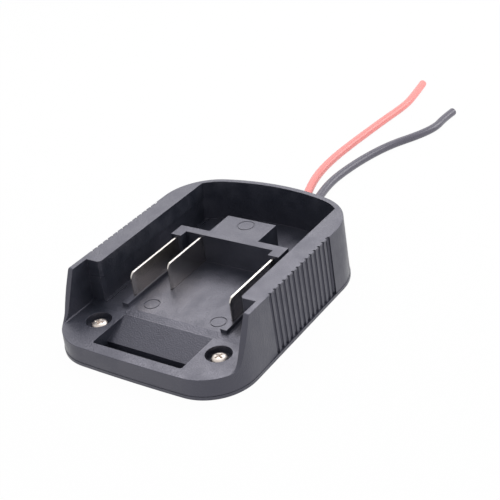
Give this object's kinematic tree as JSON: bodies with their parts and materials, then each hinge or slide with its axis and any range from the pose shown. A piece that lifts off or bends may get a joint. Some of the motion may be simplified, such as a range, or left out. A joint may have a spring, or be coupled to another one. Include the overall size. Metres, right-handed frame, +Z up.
{
  "type": "tool battery adapter",
  "caption": "Open slide-on cradle for a cordless-tool battery: two rails, three blade terminals on a tray floor, a latch pocket, and two bare-ended wires out of the back.",
  "frame": {"origin": "middle of the underside of the body, the two free wires left out", "axes": "+X from the left rail to the right one, +Y from the open front towards the wires, +Z up, out of the open tray"},
  "size_m": [0.079, 0.2638, 0.0252],
  "materials": {
    "housing_plastic": "fine spark-eroded grain",
    "base_plastic": "fine spark-eroded grain",
    "blade_metal": "nickel plated, rolled",
    "screw_metal": "nickel plated",
    "red_insulation": "satin",
    "black_insulation": "satin",
    "copper": "stranded, tinned by the solder",
    "solder": "bright solder"
  },
  "bodies": {
    "root": {"housing": "housing_plastic", "base_plate": "base_plastic", "positive_blade": "blade_metal", "negative_blade": "blade_metal", "signal_blade": "blade_metal", "front_left_screw": "screw_metal", "front_right_screw": "screw_metal", "red_wire": "red_insulation", "black_wire": "black_insulation", "red_lead": "red_insulation", "black_lead": "black_insulation", "red_conductor": "copper", "black_conductor": "copper", "positive_solder": "solder", "negative_solder": "solder"}
  },
  "joints": []
}
